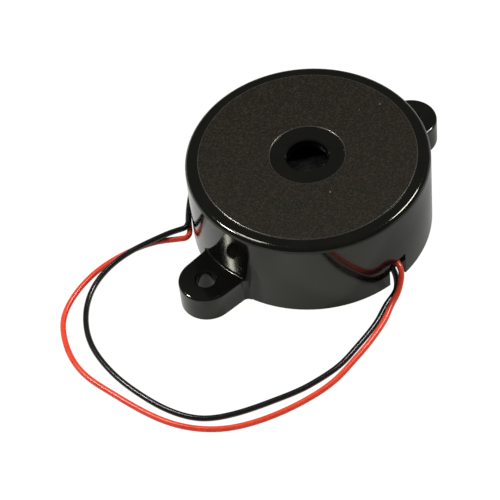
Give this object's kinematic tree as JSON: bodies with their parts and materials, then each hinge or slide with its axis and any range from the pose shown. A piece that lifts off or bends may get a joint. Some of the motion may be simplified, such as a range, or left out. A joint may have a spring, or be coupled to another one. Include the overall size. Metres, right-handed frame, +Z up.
{
  "type": "piezo buzzer",
  "caption": "Round black piezo buzzer with a central sound hole, opposite fixing ears and a red and a black lead from a notch in the wall.",
  "frame": {"origin": "centre of the round case, on the flat base", "axes": "+Z up through the sound face, X through both fixing ears, -Y to the notch where the leads leave"},
  "size_m": [0.0807, 0.053, 0.0162],
  "materials": {
    "case_black": "moulded, glossy, with a matt grained ring on the sound face",
    "cover_black": "satin",
    "brass": "rolled, slightly tarnished",
    "piezo_ceramic": "fired, unglazed",
    "silver_print": "printed and fired, satin",
    "sealant": "cured silicone",
    "board_laminate": "resin-bonded paper laminate",
    "ferrite": "sintered, matt",
    "copper_wire": "enamelled copper wire",
    "tinned_wire": "tinned copper",
    "moulded_epoxy": "moulded, satin",
    "resistor_lacquer": "beige lacquer",
    "solder": "bright solder",
    "red_pvc": "smooth extruded insulation",
    "black_pvc": "smooth extruded insulation"
  },
  "bodies": {
    "root": {"housing": "case_black", "back_cover": "cover_black", "diaphragm_plate": "brass", "ceramic_disc": "piezo_ceramic", "main_electrode": "silver_print", "feedback_electrode": "silver_print", "seal_bead": "sealant", "circuit_board": "board_laminate", "choke_core": "ferrite", "choke_winding": "copper_wire", "choke_pins": "tinned_wire", "transistor_body": "moulded_epoxy", "transistor_legs": "tinned_wire", "bias_resistor": "resistor_lacquer", "feedback_resistor": "resistor_lacquer", "supply_diode": "moulded_epoxy", "plate_jumper": "tinned_wire", "main_jumper": "tinned_wire", "feedback_jumper": "tinned_wire", "piezo_solder": "solder", "board_solder": "solder", "lead_solder": "solder", "red_lead": "red_pvc", "red_lead_tip": "tinned_wire", "black_lead": "black_pvc", "black_lead_tip": "tinned_wire"}
  },
  "joints": []
}
